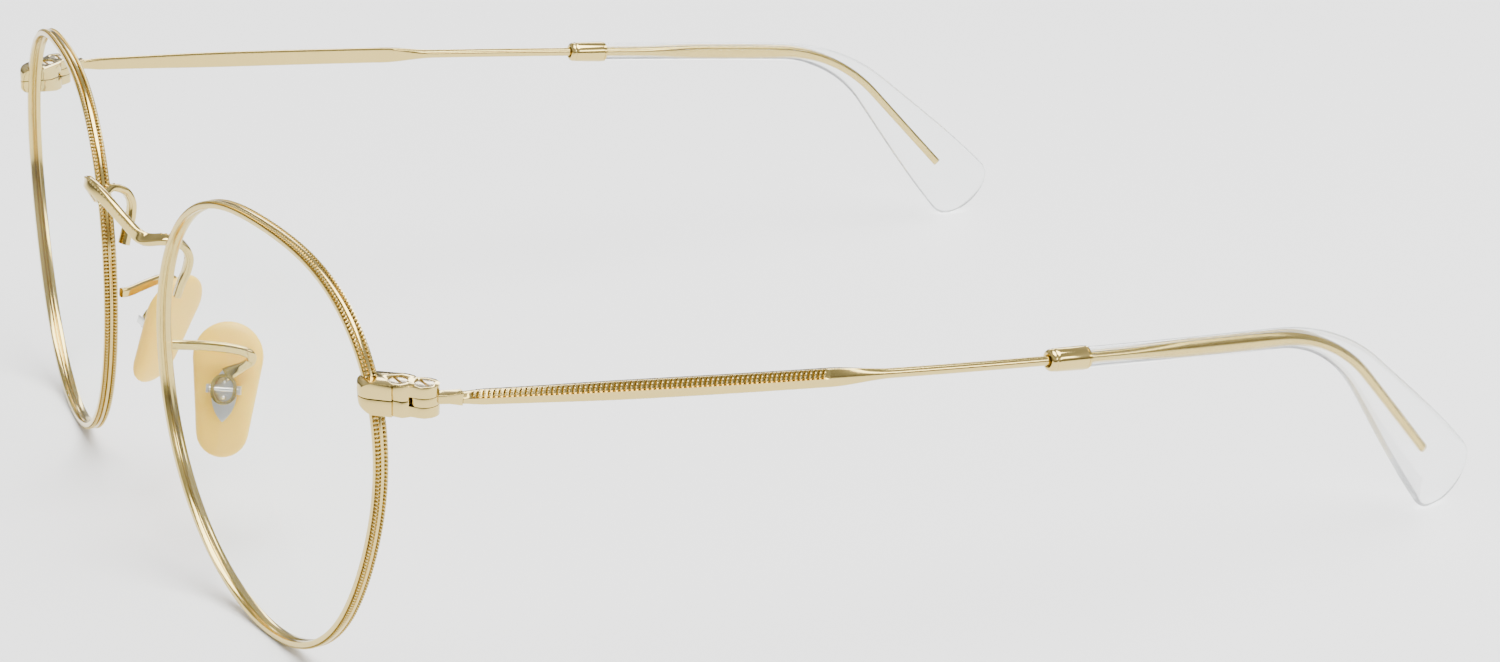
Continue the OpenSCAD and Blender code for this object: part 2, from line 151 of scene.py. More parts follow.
class StageSizes(bpy.types.PropertyGroup):
    azimuth: angle("Azimuth", 63.27, "Turn of the camera round the eyeglasses")
    elevation: angle("Elevation", 21.32, "Height of the camera above the horizon")
    roll: angle("Roll", 1.27, "Roll of the camera")
    distance: length("Distance", 457.4, "From the camera to the point that it looks at")
    focal: number("Focal length", 89.4, "Focal length on a sensor 36 mm wide")
    floor: colour("Floor", (0.93, 0.93, 0.93), "Pale floor")
    key: number("Key light", 24.0, "Strength of the large light above, in watts")


GROUPS = (
    ("glasses_front", FrontSizes),
    ("glasses_arm", ArmSizes),
    ("glasses_pad", PadSizes),
    ("glasses_finish", Finishes),
    ("glasses_stage", StageSizes),
)


# ---------- mesh helpers ----------


def ease(u):
    """0 to 1 with a soft start and a soft stop"""
    u = min(max(u, 0.0), 1.0)
    return u * u * (3 - 2 * u)


def mix(a, b, u):
    """From a to b as u goes from 0 to 1, and no further"""
    return a + (b - a) * min(max(u, 0.0), 1.0)


def stations(start, end, step):
    """Evenly spaced values from start to end, both included"""
    count = max(1, round((end - start) / step))
    return [start + (end - start) * i / count for i in range(count + 1)]


def oblong(wide, high, count, power=1.0):
    """Points round a section: power 1 is an ellipse, and less is squarer"""
    points = []
    for i in range(count):
        turn = math.tau * (i + 0.5) / count
        c, s = math.cos(turn), math.sin(turn)
        x = math.copysign(abs(c) ** power, c) * wide / 2
        y = math.copysign(abs(s) ** power, s) * high / 2
        points.append((x, y))
    return points


def sweep(bm, rings):
    """Starts from a circle laid on the first ring and extrudes its edge through the others"""
    count = len(rings[0])
    verts = bmesh.ops.create_circle(bm, cap_ends=True, segments=count, radius=MM)["verts"]
    for vert, point in zip(verts, rings[0]):
        vert.co = point
    for ring in rings[1:]:
        edges = [bm.edges.get((verts[i], verts[(i + 1) % count])) for i in range(count)]
        made = bmesh.ops.extrude_edge_only(bm, edges=edges)["geom"]
        fresh = {item for item in made if isinstance(item, bmesh.types.BMVert)}
        moved = []
        for vert in verts:
            others = (edge.other_vert(vert) for edge in vert.link_edges)
            moved.append(next(other for other in others if other in fresh))
        verts = moved
        for vert, point in zip(verts, ring):
            vert.co = point
    last = [bm.edges.get((verts[i], verts[(i + 1) % count])) for i in range(count)]
    bmesh.ops.contextual_create(bm, geom=last)


def place_section(section, at, side, up):
    """A flat section's points, set across a bar at one of its places"""
    return [at + side * x + up * y for x, y in section]


def curve_point(points, t):
    """A point on a smooth curve through the points, at t from 0 to their number less 1"""
    i = min(int(t), len(points) - 2)
    u = t - i
    a, b, c = points[max(i - 1, 0)], points[i], points[i + 1]
    d = points[min(i + 2, len(points) - 1)]
    square, cube = 2 * a - 5 * b + 4 * c - d, 3 * b - a - 3 * c + d
    return 0.5 * (2 * b + (c - a) * u + square * u**2 + cube * u**3)


def bar_frames(route, flats, steps):
    """Where a flat bar runs: a list of (point, side, up, ahead) along the smooth route"""
    frames = []
    top, near = len(route) - 1, 0.01
    for k in range(top * steps + 1):
        t = k / steps
        before, after = curve_point(route, max(t - near, 0)), curve_point(route, min(t + near, top))
        ahead = (after - before).normalized()
        up = ahead.cross(curve_point(flats, t)).normalized()
        frames.append((curve_point(route, t), up.cross(ahead), up, ahead))
    return frames


def vectors(rows, scale=1.0):
    return [Vector(row) * scale for row in rows]


def add_balls(bm, placings, rings=4, segments=7):
    """A ball of unit diameter put through each placing: one is made, and copied in doubling lots"""
    lot = bmesh.new()
    bmesh.ops.create_uvsphere(lot, u_segments=segments, v_segments=rings, radius=0.5)
    verts, edges, faces = list(lot.verts), list(lot.edges), list(lot.faces)
    one, made = (len(verts), len(edges), len(faces)), 1
    while made < len(placings):
        more = min(made, len(placings) - made)
        old = [items[: more * size] for items, size in zip((verts, edges, faces), one)]
        maps = bmesh.ops.duplicate(lot, geom=old[0] + old[1] + old[2])
        verts += [maps["vert_map"][vert] for vert in old[0]]
        edges += [maps["edge_map"][edge] for edge in old[1]]
        faces += [maps["face_map"][face] for face in old[2]]
        made += more
    for i, vert in enumerate(verts):
        vert.co = placings[i // one[0]] @ vert.co
    mesh = bpy.data.meshes.new("balls")
    lot.to_mesh(mesh)
    lot.free()
    bm.from_mesh(mesh)
    bpy.data.meshes.remove(mesh)


def ball(at, size, turn=None):
    """Placing for a ball: where its middle is, its three sizes, and how it is turned"""
    placing = Matrix.Translation(at)
    if turn is not None:
        placing = placing @ turn.to_4x4()
    return placing @ Matrix.Diagonal((*size, 1))


def cad_copy(node, sign):
    """The merged mesh of a CAD node, moved back into the left side's drawing space"""
    bm = bmesh.new()
    bm.from_mesh(frame["nodes"][node].data)
    bmesh.ops.remove_doubles(bm, verts=bm.verts, dist=0.002 * MM)
    bmesh.ops.dissolve_limit(
        bm, angle_limit=math.radians(1), verts=bm.verts, edges=bm.edges, delimit={"NORMAL"}
    )
    bmesh.ops.translate(bm, vec=-ORIGIN, verts=bm.verts)
    bmesh.ops.transform(bm, matrix=Matrix.Diagonal((sign, 1, 1, 1)), verts=bm.verts)
    return bm


def spin_section(bm, points, closed, steps):
    """Spins a section right round the Y axis; a closed section makes a ring"""
    verts = [bm.verts.new(point) for point in points]
    following = verts[1:] + verts[:1] if closed else verts[1:]
    edges = [bm.edges.new(pair) for pair in zip(verts, following)]
    bmesh.ops.spin(
        bm, geom=verts + edges, cent=(0, 0, 0), axis=(0, -1, 0), angle=math.tau, steps=steps,
        use_merge=True, use_duplicate=False,
    )


def bevel_edges(bm, edges, width):
    bmesh.ops.bevel(
        bm, geom=edges, offset=width, offset_type="OFFSET", segments=2, profile=0.5,
        affect="EDGES", material=-1, clamp_overlap=True,
    )


def round_edges(bm, width, sharper_than=30):
    """Bevels every edge that turns by more than the angle"""
    sharp = math.radians(sharper_than)
    bevel_edges(bm, [e for e in bm.edges if e.is_manifold and e.calc_face_angle(0) > sharp], width)


def new_object(name, data):
    """An object in the scene that holds the mesh, lamp or camera"""
    made = bpy.data.objects.new(name, data)
    bpy.context.scene.collection.objects.link(made)
    return made


def new_mesh_object(name, bm, material):
    """An object made of a finished drawing in one material"""
    mesh = bpy.data.meshes.new(name)
    bm.to_mesh(mesh)
    bm.free()
    mesh.materials.append(material)
    return new_object(name, mesh)


def finish_piece(bm, node, sign, body, material, crease=40):
    """Puts a drawing on its own side and smooths it, and has it stand for its CAD node"""
    bmesh.ops.transform(bm, matrix=Matrix.Diagonal((sign, 1, 1, 1)), verts=bm.verts)
    bmesh.ops.translate(bm, vec=ORIGIN, verts=bm.verts)
    bmesh.ops.recalc_face_normals(bm, faces=bm.faces)
    if bm.calc_volume(signed=True) < 0:
        bmesh.ops.reverse_faces(bm, faces=bm.faces)
    for face in bm.faces:
        face.smooth = True
    for edge in bm.edges:
        edge.smooth = not edge.is_manifold or edge.calc_face_angle(0) < math.radians(crease)
    piece = new_mesh_object("visual_" + node, bm, material)
    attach(piece, body)
    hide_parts(node)
    return piece


# ---------- rim outline and arm line ----------


# The rim's outline is a circle with these waves in it, as (times round, cosine, sine) shares
RIM_WAVES = ((2, 0.017, 0.012), (3, 0.0, 0.041), (4, -0.014, 0.008))
# How far the outline stays inside the CAD rim's, so that the beads don't pass it
BEAD_ROOM = 0.065 * MM


def rim_radius(front, turn):
    """A circle that small waves flatten at the top and narrow towards the bottom"""
    waves = sum(c * math.cos(n * turn) + s * math.sin(n * turn) for n, c, s in RIM_WAVES)
    return (front.lens_w / 2 + front.rim_t - BEAD_ROOM) * (1 + waves)


def rim_point(front, turn, inset, depth):
    """A point of the rim: inset from its outer edge, and depth behind its front face"""
    radius = rim_radius(front, turn) - inset
    flat = Vector((radius * math.cos(turn), depth, radius * math.sin(turn)))
    centre = Vector(((front.lens_w + front.nose_gap) / 2, 0, 0))
    return centre + Matrix.Rotation(front.wrap, 3, "Z") @ flat


def even_turns(front, pitch):
    """Angles at which points sit pitch apart along the outline"""
    parts = 1440
    fine = [math.tau * i / parts for i in range(parts + 1)]
    places = [rim_point(front, turn, 0, 0) for turn in fine]
    run = [0.0]
    for a, b in zip(places, places[1:]):
        run.append(run[-1] + (b - a).length)
    count = round(run[-1] / pitch)
    turns, k = [], 0
    for i in range(count):
        want = run[-1] * i / count
        while run[k + 1] < want:
            k += 1
        turns.append(fine[k] + (fine[k + 1] - fine[k]) * (want - run[k]) / (run[k + 1] - run[k]))
    return turns


class ArmLine:
    """The middle line of an arm, from the hinge to the end of the tip"""

    STEP = 0.25 * MM
    START = Vector((62.7, 11.8, 11.7)) * MM
    FLAT_END, TAPER_END = 43 * MM, 51 * MM
    # The toothed row, and the length over which its channel sinks in and comes out
    ROW_START, ROW_END, ROW_FADE = 0.7 * MM, 42.6 * MM, 0.4 * MM
    # The flat arm starts at this share of its height, and is full after this length
    NECK_SHARE, LEAD = 0.74, 2.4 * MM
    COLLAR_START, COLLAR_END = 71.2 * MM, 76.5 * MM
    # The wire flattens into the core, which is lower again after the ear bend
    CORE_FROM, CORE_OVER, CORE_THICK, CORE_HIGH = 80 * MM, 12 * MM, 1.1 * MM, 1.6 * MM
    SLIM_FROM, SLIM_OVER, CORE_END_HIGH = 98 * MM, 16 * MM, 1.1 * MM

    def __init__(self, arm):
        self.arm = arm
        self.length = arm.core_end + arm.tip_past
        self.points = [self.START]
        for i in range(math.ceil(self.length / self.STEP) + 1):
            self.points.append(self.points[-1] + self.ahead((i + 0.5) * self.STEP) * self.STEP)

    def ahead(self, s):
        """Direction at length s: bowed inwards, falling, and bent down behind the ear"""
        heading = self.arm.splay - s / self.arm.bow_r
        bent = (s - self.arm.bend_start) / self.arm.bend_r
        fall = self.arm.drop + min(max(bent, 0), self.arm.bend_angle)
        return Vector((
            math.sin(heading) * math.cos(fall), math.cos(heading) * math.cos(fall), -math.sin(fall)
        ))

    def frame(self, s):
        """Point, outward direction, upward direction and forward direction at length s"""
        i = min(max(int(s / self.STEP), 0), len(self.points) - 2)
        at = self.points[i].lerp(self.points[i + 1], s / self.STEP - i)
        ahead = self.ahead(s)
        side = Vector((ahead.y, -ahead.x, 0)).normalized()
        return at, side, side.cross(ahead), ahead

    def flat_height(self, s):
        """The arm grows out of the neck, and rises to its full height over its first half"""
        lead = mix(self.NECK_SHARE, 1, ease(s / self.LEAD))
        return lead * mix(self.arm.front_height, self.arm.height, ease(s / (0.5 * self.FLAT_END)))

    def ring(self, s, section):
        at, side, up, _ahead = self.frame(s)
        return place_section(section, at, side, up)


# ---------- materials ----------


def new_material(name):
    material = bpy.data.materials.new(name)
    material.use_nodes = True
    return material, material.node_tree, material.node_tree.nodes["Principled BSDF"]


def link(tree, source, target):
    tree.links.new(source, target)


def set_inputs(node, values):
    for name, value in values.items():
        node.inputs[name].default_value = value


def add_node(tree, kind, **values):
    """A new node with the values of its inputs"""
    node = tree.nodes.new("ShaderNode" + kind)
    set_inputs(node, values)
    return node


def math_node(tree, operation):
    node = add_node(tree, "Math")
    node.operation = operation
    return node


def group_node(tree, group, **values):
    """Places a shared group in a material, on Object coordinates, with its own values"""
    node = add_node(tree, "Group")
    node.node_tree = group
    set_inputs(node, values)
    coords = add_node(tree, "TexCoord")
    link(tree, coords.outputs["Object"], node.inputs["Vector"])
    return node


def socket(group, name, kind, default=None, output=False):
    """An input of a node group with its default value, or an output"""
    made = group.interface.new_socket(
        name=name, in_out="OUTPUT" if output else "INPUT", socket_type="NodeSocket" + kind
    )
    if default is not None:
        made.default_value = default


def metal_wear_group():
    """Plated metal: soft colour drift, fine polishing lines, and rougher handled patches"""
    group = bpy.data.node_groups.new("PlatedMetalWear", "ShaderNodeTree")
    socket(group, "Vector", "Vector")
    socket(group, "Plate", "Color", (0.8, 0.7, 0.5, 1))
    socket(group, "Shade", "Color", (0.6, 0.45, 0.25, 1))
    socket(group, "Drift", "Float", 0.3)
    socket(group, "Polish", "Float", 0.15)
    socket(group, "Haze", "Float", 0.12)
    socket(group, "Color", "Color", output=True)
    socket(group, "Roughness", "Float", output=True)
    socket(group, "Height", "Float", output=True)
    start, end = group.nodes.new("NodeGroupInput"), group.nodes.new("NodeGroupOutput")
    patches = add_node(group, "TexNoise", Scale=260, Detail=5)
    lines = add_node(group, "TexNoise", Scale=5200, Detail=3)
    blend = add_node(group, "Mix")
    blend.data_type = "RGBA"
    amount = math_node(group, "MULTIPLY")
    haze = math_node(group, "MULTIPLY_ADD")
    link(group, start.outputs["Vector"], patches.inputs["Vector"])
    link(group, start.outputs["Vector"], lines.inputs["Vector"])
    link(group, patches.outputs["Fac"], amount.inputs[0])
    link(group, start.outputs["Drift"], amount.inputs[1])
    link(group, amount.outputs[0], blend.inputs["Factor"])
    link(group, start.outputs["Plate"], blend.inputs["A"])
    link(group, start.outputs["Shade"], blend.inputs["B"])
    link(group, patches.outputs["Fac"], haze.inputs[0])
    link(group, start.outputs["Haze"], haze.inputs[1])
    link(group, start.outputs["Polish"], haze.inputs[2])
    link(group, blend.outputs["Result"], end.inputs["Color"])
    link(group, haze.outputs[0], end.inputs["Roughness"])
    link(group, lines.outputs["Fac"], end.inputs["Height"])
    return group


def clear_surface_group():
    """Clear plastic or glass: faint waviness and fine handling marks"""
    group = bpy.data.node_groups.new("ClearSurface", "ShaderNodeTree")
    socket(group, "Vector", "Vector")
    socket(group, "Polish", "Float", 0.02)
    socket(group, "Marks", "Float", 0.03)
    socket(group, "Roughness", "Float", output=True)
    socket(group, "Height", "Float", output=True)
    start, end = group.nodes.new("NodeGroupInput"), group.nodes.new("NodeGroupOutput")
    waves = add_node(group, "TexNoise", Scale=180, Detail=2)
    rough = math_node(group, "MULTIPLY_ADD")
    link(group, start.outputs["Vector"], waves.inputs["Vector"])
    link(group, waves.outputs["Fac"], rough.inputs[0])
    link(group, start.outputs["Marks"], rough.inputs[1])
    link(group, start.outputs["Polish"], rough.inputs[2])
    link(group, rough.outputs[0], end.inputs["Roughness"])
    link(group, waves.outputs["Fac"], end.inputs["Height"])
    return group


def shared_group(name, maker):
    """The node group of that name, made the first time that it is asked for"""
    return bpy.data.node_groups.get(name) or maker()


def add_bump(tree, shader, height, strength, distance):
    bump = add_node(tree, "Bump", Strength=strength, Distance=distance)
    link(tree, height, bump.inputs["Height"])
    link(tree, bump.outputs["Normal"], shader.inputs["Normal"])


def plated_metal(name, plate, shade, polish, drift=0.35):
    """Polished plate over metal, whose colour drifts towards the shade by the amount of drift"""
    if name in bpy.data.materials:
        return bpy.data.materials[name]
    material, tree, shader = new_material(name)
    wear = group_node(
        tree, shared_group("PlatedMetalWear", metal_wear_group),
        Plate=(*plate, 1), Shade=(*shade, 1), Drift=drift, Polish=polish, Haze=0.07,
    )
    shader.inputs["Metallic"].default_value = 1.0
    link(tree, wear.outputs["Color"], shader.inputs["Base Color"])
    link(tree, wear.outputs["Roughness"], shader.inputs["Roughness"])
    add_bump(tree, shader, wear.outputs["Height"], 0.1, 0.01 * MM)
    return material


def gold(finish):
    return plated_metal("PolishedGold", finish.gold, finish.deep_gold, finish.polish)


def beaded_gold(finish):
    # The beaded pieces drift further towards the deep gold, evenly over the whole piece
    return plated_metal("BeadedGold", finish.gold, finish.deep_gold, finish.polish + 0.03, drift=0.5)


def silver(finish):
    return plated_metal("BrightSilver", finish.silver, (0.5, 0.5, 0.5), 0.26, drift=0.25)


def screw_metal():
    return plated_metal("ScrewMetal", (0.80, 0.70, 0.50), (0.42, 0.33, 0.20), 0.2, drift=0.45)


def clear_material(name, tint, ior, polish, marks, wave, see_through):
    """Clear solid: a share is plain see-through, and lamp light passes, so its shadow is faint"""
    if name in bpy.data.materials:
        return bpy.data.materials[name]
    material, tree, shader = new_material(name)
    surface = group_node(
        tree, shared_group("ClearSurface", clear_surface_group), Polish=polish, Marks=marks
    )
    set_inputs(shader, {"Base Color": (*tint, 1), "Transmission Weight": 1.0, "IOR": ior})
    link(tree, surface.outputs["Roughness"], shader.inputs["Roughness"])
    add_bump(tree, shader, surface.outputs["Height"], wave, 0.02 * MM)
    path = add_node(tree, "LightPath")
    through = add_node(tree, "BsdfTransparent", Color=(*tint, 1))
    either = add_node(tree, "MixShader")
    share = math_node(tree, "MAXIMUM")
    share.inputs[1].default_value = see_through
    link(tree, path.outputs["Is Shadow Ray"], share.inputs[0])
    link(tree, share.outputs["Value"], either.inputs["Fac"])
    link(tree, shader.outputs["BSDF"], either.inputs[1])
    link(tree, through.outputs["BSDF"], either.inputs[2])
    link(tree, either.outputs["Shader"], tree.nodes["Material Output"].inputs["Surface"])
    return material


def lens_glass(finish):
    """The low index and the see-through share stand in for the coating, which leaves no glare"""
    return clear_material("LensGlass", finish.glass, 1.1, 0.0, 0.004, 0.0, 0.98)


def clear_acetate(finish):
    return clear_material("ClearAcetate", finish.acetate, 1.25, 0.015, 0.02, 0.06, 0.3)


def pad_silicone(finish):
    """Soft translucent apricot silicone with a milky skin"""
    if "PadSilicone" in bpy.data.materials:
        return bpy.data.materials["PadSilicone"]
    material, tree, shader = new_material("PadSilicone")
    surface = group_node(
        tree, shared_group("PlatedMetalWear", metal_wear_group),
        Plate=(*finish.apricot, 1), Shade=(0.98, 0.56, 0.04, 1), Drift=0.3, Polish=0.34, Haze=0.12,
    )
    link(tree, surface.outputs["Color"], shader.inputs["Base Color"])
    link(tree, surface.outputs["Roughness"], shader.inputs["Roughness"])
    set_inputs(shader, {
        "Subsurface Weight": 0.35, "Subsurface Radius": (1.0, 0.55, 0.25),
        "Subsurface Scale": 1.6 * MM, "IOR": 1.41,
    })
    add_bump(tree, shader, surface.outputs["Height"], 0.08, 0.01 * MM)
    return material


# ---------- the pieces ----------


def make_rim(front, finish, label, sign):
    """A turned wire ring with a lens groove, a middle ridge and two rows of beads"""
    t, d = front.rim_t, front.rim_d
    bead_inset, bead_depths, bead_rise = 0.19 * t, (0.19 * d, 0.81 * d), 0.012 * MM
    outline = (
        # inset from the outer edge, depth behind the front face, as shares of t and d
        (0.98, 0.10), (0.90, 0.02), (0.62, 0.0), (0.36, 0.0), (0.28, 0.03), (0.32, 0.08),
        (0.32, 0.30), (0.26, 0.35), (0.06, 0.40), (0.02, 0.50), (0.06, 0.60), (0.26, 0.65),
        (0.32, 0.70), (0.32, 0.92), (0.28, 0.97), (0.36, 1.0), (0.62, 1.0), (0.90, 0.98),
        (0.98, 0.90), (1.0, 0.70), (0.66, 0.52), (0.66, 0.48), (1.0, 0.30),
    )
    bm = bmesh.new()
    spin_section(bm, [(1 - inset * t, depth * d, 0) for inset, depth in outline], True, 288)
    # The ring was spun at a radius of 1 m: the rim's outline takes the circle's place
    for vert in bm.verts:
        inset = 1 - math.hypot(vert.co.x, vert.co.z)
        turn = math.atan2(vert.co.z, vert.co.x)
        vert.co = rim_point(front, turn, inset + bead_rise, vert.co.y)
    turns = even_turns(front, front.bead_pitch)
    size = (front.bead_d,) * 3
    add_balls(bm, [ball(rim_point(front, a, bead_inset, y), size) for y in bead_depths for a in turns])
    finish_piece(bm, "rim_" + label, sign, "front", beaded_gold(finish))


def make_lens(front, finish, label, sign):
    """A meniscus lens, spun from half of its section, with the edge that sits in the groove"""
    middle, rings = front.rim_d / 2, 22
    edge, groove, gap = front.lens_w / 2, 0.28 * MM, 0.04 * MM
    sag = front.lens_curve - math.sqrt(front.lens_curve**2 - edge**2)
    centre_y = middle - front.lens_t / 2 - sag + front.lens_curve

    def surface(radius, curve):
        return centre_y - math.sqrt(curve**2 - radius**2)

    # A flat disc first, with its front at -Y and its back at +Y, which then takes the curves
    radii = [edge * i / rings for i in range(rings + 1)]
    half_section = [(radius, -MM, 0) for radius in radii] + [(edge + groove, 0, 0)]
    half_section += [(radius, MM, 0) for radius in reversed(radii)]
    bm = bmesh.new()
    spin_section(bm, half_section, False, 144)
    for vert in bm.verts:
        share = math.hypot(vert.co.x, vert.co.z) / edge
        turn = math.atan2(vert.co.z, vert.co.x)
        inner = rim_radius(front, turn) - front.rim_t - gap
        radius = inner * min(share, 1) + edge * max(share - 1, 0)
        curve = front.lens_curve - (front.lens_t if vert.co.y > 0 else 0)
        depth = middle if share > 1.001 else surface(radius, curve)
        inset = rim_radius(front, turn) - radius
        vert.co = rim_point(front, turn, inset, depth)
    bmesh.ops.remove_doubles(bm, verts=bm.verts, dist=0.001 * MM)
    finish_piece(bm, "lens_" + label, sign, "front", lens_glass(finish))


# One half of the bridge, from its shank's end to the top of its arch: the middle of the bar, and
# the direction that its face looks in
BRIDGE_HALF = vectors((
    (9.4, -0.6, 6.2), (9.6, -0.1, 7.8), (9.9, 0.5, 9.4), (10.1, 0.7, 11.1),
    (10.1, -0.1, 12.6), (9.7, -1.9, 13.3), (7.8, -3.9, 13.1), (5.6, -5.3, 14.7), (3.2, -6.6, 16.6),
), MM)
BRIDGE_TOP = Vector((0, -7.4, 17.6)) * MM
FACE_HALF = vectors((
    (0.3, 1, -0.6), (0.2, 1, -0.9), (0.1, 1, -0.3), (0.1, 1, 0.5),
    (0.1, 0.2, 1), (0, -0.5, 1), (-0.3, -0.9, 0.6), (-0.2, -1, 0.4), (-0.1, -1, 0.35),
))
FACE_TOP = Vector((0, -1, 0.35))


def flipped(vector):
    """The same place or direction on the other side of the nose"""
    return Vector((-vector.x, vector.y, vector.z))


def make_bridge(front, finish):
    """The saddle bar from one shank's square end over the nose to the other's"""
    route = BRIDGE_HALF + [BRIDGE_TOP] + [flipped(p) for p in reversed(BRIDGE_HALF)]
    faces = FACE_HALF + [FACE_TOP] + [flipped(v) for v in reversed(FACE_HALF)]
    bm = bmesh.new()
    section = oblong(front.bridge_t * 0.96, front.bridge_h * 0.96, 24, 0.55)
    frames = bar_frames(route, faces, 14)
    sweep(bm, [place_section(section, at, side, up) for at, side, up, _ahead in frames])
    # A line of beads along the arch, above the shanks
    beads, run, pitch, size, arch_from = [], 0.0, 0.42 * MM, 0.26 * MM, 13.2 * MM
    for (at, side, up, _ahead), (last, *_rest) in zip(frames[1:], frames):
        run += (at - last).length
        if run >= pitch and at.z > arch_from:
            run = 0.0
            spot = at + side * (front.bridge_t * 0.44) + up * (front.bridge_h * 0.3)
            beads.append(ball(spot, (size,) * 3))
    add_balls(bm, beads)
    finish_piece(bm, "bridge", 1, "front", gold(finish))


RIM_SCREW = Vector((59.7, 5.9, 11.8)) * MM


def outer_rims(bm, level):
    """Edges round the outside of a half block at the level, clear of the two screws"""
    hinge_room, screw_room, sharp = 1.45 * MM, 1.3 * MM, 0.8
    edges = []
    for edge in bm.edges:
        middle = (edge.verts[0].co + edge.verts[1].co) / 2
        level_with = all(abs(vert.co.z - level) < 0.02 * MM for vert in edge.verts)
        corner = edge.is_manifold and edge.calc_face_angle(0) > sharp
        near_hinge = (middle.xy - HINGE.xy).length < hinge_room
        near_screw = (middle.xy - RIM_SCREW.xy).length < screw_room
        if level_with and corner and not near_hinge and not near_screw:
            edges.append(edge)
    return edges


def make_endpieces(finish, label, sign):
    """The CAD halves, with their outsides chamfered and their other edges eased"""
    for half, way in (("endpiece_upper_", 1), ("endpiece_lower_", -1)):
        bm = cad_copy(half + label, sign)
        level = max(vert.co.z * way for vert in bm.verts) * way
        bevel_edges(bm, outer_rims(bm, level), 0.5 * MM)
        round_edges(bm, 0.07 * MM, 35)
        finish_piece(bm, half + label, sign, "front", gold(finish), CAD_CREASE)


def make_screws(label, sign):
    """The screw that closes the rim and the one that the temple turns on"""
    for kind in ("rim_screw_", "hinge_screw_"):
        bm = cad_copy(kind + label, sign)
        round_edges(bm, 0.06 * MM)
        finish_piece(bm, kind + label, sign, "front", screw_metal(), CAD_CREASE)


ARM_ROUTE = vectors((
    (9.15, -1.25, 0.2), (9.5, 0.0, 0.1), (11.0, 2.6, 0.1), (12.5, 5.0, -0.1),
    (13.1, 6.6, -0.7), (12.9, 6.9, -1.7), (12.3, 5.9, -2.6),
), MM)
ARM_FACES = vectors((
    (1, -0.3, 0), (1, -0.4, 0), (1, -0.5, 0), (1, -0.3, 0),
    (1, 0, 0), (1, -0.2, 0.2), (1, -0.2, 0.3), (1, -0.4, 0.4),
))
# The middle of a nose pad, and its box's distance behind that and height
PAD_AT = Vector((10.5, 4.6, -5.8)) * MM
BOX_X, BOX_H = 2.2 * MM, 3.6 * MM
# The insert's post in the box: heights and diameters of its knobs, in mm
POST_X = BOX_X - 0.1 * MM
POST_KNOBS = ((0.95, 0.55), (0, 0.32), (-0.95, 0.55))
# Share of the pad arm's length at which its end starts to flare, and the share that it takes
FLARE_FROM, FLARE_OVER = 0.8, 0.16


def pad_matrix(pad):
    """Place of a nose pad: X through its thickness, Y across it and Z along it"""
    turn = Matrix.Rotation(-pad.splay, 4, "Z") @ Matrix.Rotation(-pad.tilt, 4, "Y")
    return Matrix.Translation(PAD_AT) @ turn @ Matrix.Rotation(pad.lean, 4, "X")


def make_pad_arm(pad, finish, label, sign):
    """A flat wire that runs back from the rim and turns down to the pad box"""
    end = pad_matrix(pad) @ Vector((BOX_X, 0, BOX_H / 2 - 0.1 * MM))
    frames = bar_frames(ARM_ROUTE + [end], ARM_FACES, 12)
    rings = []
    for k, (at, side, up, _ahead) in enumerate(frames):
        # The end flares into a flat tongue on the box
        u = ease((k / len(frames) - FLARE_FROM) / FLARE_OVER)
        section = oblong(mix(0.8, 0.6, u) * MM, mix(1.14, 1.6, u) * MM, 20, 0.6)
        rings.append(place_section(section, at, side, up))
    bm = bmesh.new()
    sweep(bm, rings)
    finish_piece(bm, "pad_arm_" + label, sign, "front", gold(finish))


def make_pad_fittings(pad, finish, label, sign):
    """The box on the arm, and the clip and insert that hold the pad in it"""
    rocker = "pad_" + label + "_rocker"
    fittings = (
        ("pad_box_", 0.1, "front", "gold_polished", gold),
        ("pad_clip_", 0.07, rocker, "silver_clip", silver),
        ("pad_insert_", 0.06, rocker, "silver_clip", silver),
    )
    for name, rounding, body, slot, metal in fittings:
        bm = cad_copy(name + label, sign)
        round_edges(bm, rounding * MM)
        if name == "pad_insert_":
            place = pad_matrix(pad)
            knobs = [place @ ball((POST_X, 0, z * MM), (d * MM,) * 3) for z, d in POST_KNOBS]
            add_balls(bm, knobs, 10, 14)
        finish_piece(bm, name + label, sign, body, metal(finish), CAD_CREASE)


def pad_outline(pad, turn):
    """Distance from the pad's middle to its edge: a wide round top and a narrower bottom"""
    top, bottom, circles = pad.wide / 2, pad.wide * 0.37, 12
    c, s = math.cos(turn), math.sin(turn)
    reach = 0.0
    for i in range(circles + 1):
        u = i / circles
        radius = top + (bottom - top) * u
        middle = (pad.long / 2 - top) * (1 - u) - (pad.long / 2 - bottom) * u
        ahead = s * middle
        off = c * middle
        if abs(off) < radius:
            reach = max(reach, ahead + math.sqrt(radius**2 - off**2))
    return reach


def make_nose_pad(pad, finish, label, sign):
    """A soft pillow-edged pad, from a ball spread out to the pad's outline"""
    bm = bmesh.new()
    bmesh.ops.create_uvsphere(bm, u_segments=72, v_segments=36, radius=1)
    fullness, doming = 0.42, 0.85
    for vert in bm.verts:
        x, y, z = vert.co
        turn = math.atan2(y, x)
        flat = math.hypot(x, y)
        reach = pad_outline(pad, turn) * flat**fullness
        dome = math.copysign(abs(z) ** doming, z) * pad.thick / 2
        vert.co = Vector((dome, reach * math.cos(turn), reach * math.sin(turn)))
    bmesh.ops.transform(bm, matrix=pad_matrix(pad), verts=bm.verts)
    body = "pad_" + label + "_rocker"
    piece = finish_piece(bm, "nose_pad_" + label, sign, body, pad_silicone(finish), 60)


